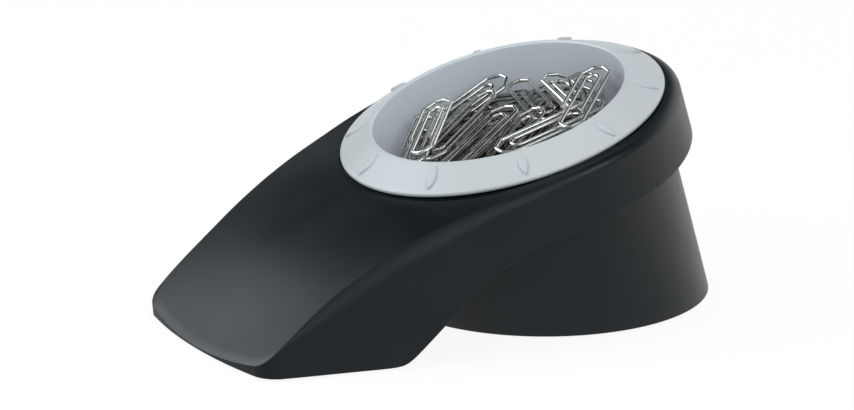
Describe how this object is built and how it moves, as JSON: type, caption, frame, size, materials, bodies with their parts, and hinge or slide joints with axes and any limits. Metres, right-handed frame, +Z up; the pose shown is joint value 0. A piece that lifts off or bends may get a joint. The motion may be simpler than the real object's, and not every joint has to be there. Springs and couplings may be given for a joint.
{
  "type": "paper clip holder",
  "caption": "Tilted round desk holder for paper clips with a slipper-shaped dark hood and a lift-out grey dish.",
  "frame": {"origin": "on the table, below the middle of the object's box", "axes": "+Z up, -X towards the tongue's tip, Y across; the object is symmetric about y = 0 but for its clips"},
  "size_m": [0.1388, 0.0888, 0.0601],
  "materials": {
    "dark_plastic": "fine matte charcoal black moulding",
    "pale_plastic": "smooth light grey moulding",
    "ferrite": "dark grey bonded magnet",
    "ballast_steel": "plain pressed steel",
    "screw_steel": "zinc plated steel",
    "clip_steel": "bright drawn steel wire",
    "rubber": "soft black rubber"
  },
  "bodies": {
    "body": {"hood": "dark_plastic", "base_tube": "dark_plastic", "bottom_plate": "dark_plastic", "ballast_disc": "ballast_steel", "plate_screw_1": "screw_steel", "plate_screw_2": "screw_steel", "plate_screw_3": "screw_steel", "base_foot_1": "rubber", "base_foot_2": "rubber", "base_foot_3": "rubber", "front_foot_left": "rubber", "front_foot_right": "rubber"},
    "magnet_carrier": {"magnet_ring": "ferrite"},
    "dish": {"dish": "pale_plastic", "paper_clip_01": "clip_steel", "paper_clip_02": "clip_steel", "paper_clip_03": "clip_steel", "paper_clip_04": "clip_steel", "paper_clip_05": "clip_steel", "paper_clip_06": "clip_steel", "paper_clip_07": "clip_steel", "paper_clip_08": "clip_steel", "paper_clip_09": "clip_steel", "paper_clip_10": "clip_steel", "paper_clip_11": "clip_steel", "paper_clip_12": "clip_steel", "paper_clip_13": "clip_steel", "paper_clip_14": "clip_steel", "paper_clip_15": "clip_steel", "paper_clip_16": "clip_steel", "paper_clip_17": "clip_steel", "paper_clip_18": "clip_steel", "paper_clip_19": "clip_steel", "paper_clip_20": "clip_steel", "paper_clip_21": "clip_steel", "paper_clip_22": "clip_steel", "paper_clip_23": "clip_steel", "paper_clip_24": "clip_steel", "paper_clip_25": "clip_steel", "paper_clip_26": "clip_steel", "paper_clip_27": "clip_steel", "paper_clip_28": "clip_steel", "paper_clip_29": "clip_steel", "paper_clip_30": "clip_steel", "paper_clip_31": "clip_steel", "paper_clip_32": "clip_steel", "paper_clip_33": "clip_steel", "paper_clip_34": "clip_steel", "paper_clip_35": "clip_steel", "paper_clip_36": "clip_steel", "paper_clip_37": "clip_steel", "paper_clip_38": "clip_steel", "paper_clip_39": "clip_steel", "paper_clip_40": "clip_steel", "paper_clip_41": "clip_steel", "paper_clip_42": "clip_steel"}
  },
  "joints": [
    {"name": "dish_lift", "type": "slide", "parent": "body", "child": "magnet_carrier", "axis": [-0.274, 0, 0.9617], "range_m": [0, 0.04]},
    {"name": "dish_turn", "type": "hinge", "parent": "magnet_carrier", "child": "dish", "pos_m": [0.01569, 0, 0.0472], "axis": [-0.274, 0, 0.9617], "continuous": true}
  ]
}
